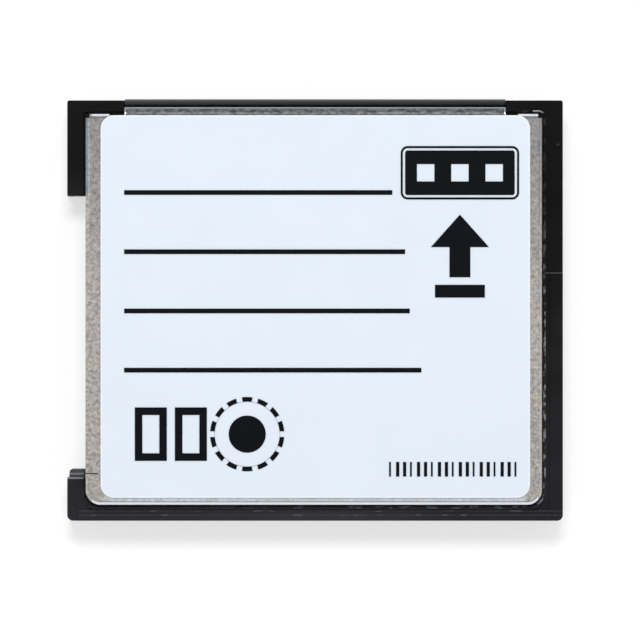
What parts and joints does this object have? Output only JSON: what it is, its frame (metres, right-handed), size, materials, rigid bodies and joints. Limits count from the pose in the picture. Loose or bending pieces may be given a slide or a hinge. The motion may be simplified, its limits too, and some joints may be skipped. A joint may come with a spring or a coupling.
{
  "type": "memory card slot adapter",
  "caption": "Flat rectangular adapter card: a slot in one side takes a memory card, and a two-row socket along the front edge plugs into a larger card slot.",
  "frame": {"origin": "middle of the outline on the outer face of the flat front cover, on which the adapter lies", "axes": "+X from the card slot's side to the closed side, +Y to the socket edge, +Z out of the labelled back"},
  "size_m": [0.0428, 0.0364, 0.005],
  "materials": {
    "frame_plastic": "moulded black, fine spark-eroded grain",
    "stainless_sheet": "bright-rolled stainless sheet, faint cross grain",
    "label_film": "white polyester film, slightly glossy, cool white",
    "black_ink": "screen printed black",
    "connector_plastic": "glass-filled black moulding",
    "gold_plate": "gold flash over copper alloy",
    "board_laminate": "green solder mask",
    "chip_epoxy": "black moulded epoxy",
    "tinned_metal": "tin plate",
    "capacitor_epoxy": "ochre moulded epoxy",
    "capacitor_ceramic": "tan ceramic",
    "resistor_glaze": "black glaze",
    "shell_steel": "nickel-plated spring steel"
  },
  "bodies": {
    "root": {"rail_frame": "frame_plastic", "front_cover": "stainless_sheet", "back_cover": "stainless_sheet", "back_label": "label_film", "writing_lines": "black_ink", "label_marks": "black_ink", "connector_housing": "connector_plastic", "upper_contacts": "gold_plate", "lower_contacts": "gold_plate", "circuit_board": "board_laminate", "bridge_chip": "chip_epoxy", "oscillator_crystal": "tinned_metal", "voltage_regulator": "chip_epoxy", "regulator_leads": "tinned_metal", "tantalum_capacitor": "capacitor_epoxy", "filter_capacitors": "capacitor_ceramic", "pull_up_resistors": "resistor_glaze", "card_insulator": "connector_plastic", "card_contacts": "gold_plate", "socket_shell": "shell_steel", "card_detect_spring": "gold_plate", "card_detect_post": "gold_plate", "write_protect_spring": "gold_plate"}
  },
  "joints": []
}
